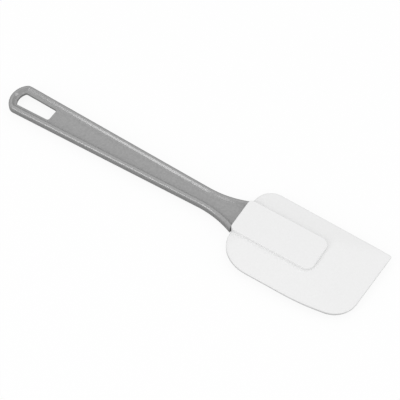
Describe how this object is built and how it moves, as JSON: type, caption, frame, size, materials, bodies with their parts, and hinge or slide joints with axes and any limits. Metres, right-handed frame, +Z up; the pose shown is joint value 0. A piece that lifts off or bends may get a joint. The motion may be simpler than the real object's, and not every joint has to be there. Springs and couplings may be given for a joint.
{
  "type": "bowl scraper",
  "caption": "Bowl scraper with a flat ribbed plastic handle, a hanging slot and a soft rubber blade that pulls off the handle's tongue.",
  "frame": {"origin": "middle of the underside of the whole tool, on the surface that it lies on", "axes": "+X along the tool from the hanging end to the blade's end, +Y to the blade's straight side with the sharp corner, +Z up, square to the blade"},
  "size_m": [0.254, 0.0564, 0.0086],
  "materials": {
    "handle_plastic": "moulded mid grey plastic, polished rims and a finely textured web",
    "blade_rubber": "smooth white food-safe rubber, satin"
  },
  "bodies": {
    "handle": {"handle": "handle_plastic"},
    "blade": {"blade": "blade_rubber"}
  },
  "joints": [
    {"name": "blade_pull_off", "type": "slide", "parent": "handle", "child": "blade", "axis": [1, 0, 0], "range_m": [0, 0.058]}
  ]
}
